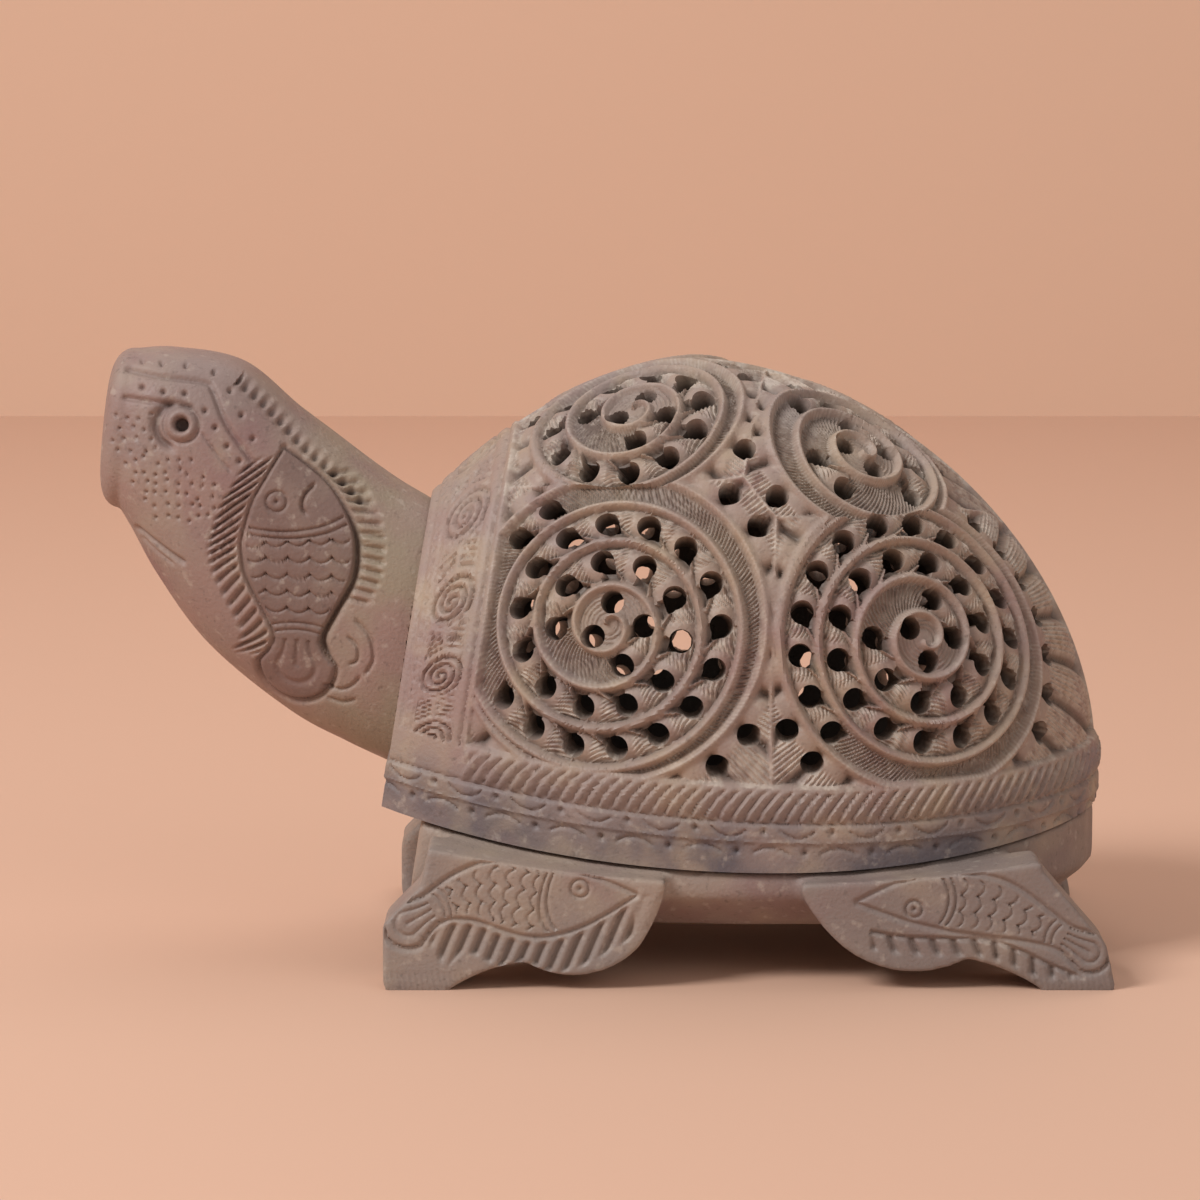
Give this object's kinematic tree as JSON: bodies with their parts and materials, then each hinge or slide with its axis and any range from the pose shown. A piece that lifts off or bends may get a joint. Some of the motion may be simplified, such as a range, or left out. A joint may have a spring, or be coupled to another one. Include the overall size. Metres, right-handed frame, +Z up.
{
  "type": "turtle figurine",
  "caption": "Carved soapstone tortoise with a raised head, a hollow openwork shell that lifts off, and a footed base.",
  "frame": {"origin": "centre of the bounding box, on the surface that the feet stand on", "axes": "+Z up, +X along the body towards the tail, +Y to the far side; the head points to -X"},
  "size_m": [0.198, 0.103, 0.118],
  "materials": {
    "shell_stone": "satin carved soapstone",
    "head_stone": "satin carved soapstone",
    "base_stone": "satin carved soapstone"
  },
  "bodies": {
    "base": {"base": "base_stone"},
    "shell": {"carapace": "shell_stone", "head_and_neck": "head_stone"}
  },
  "joints": [
    {"name": "shell_lift", "type": "slide", "parent": "base", "child": "shell", "axis": [0, 0, 1], "range_m": [0, 0.08]}
  ]
}
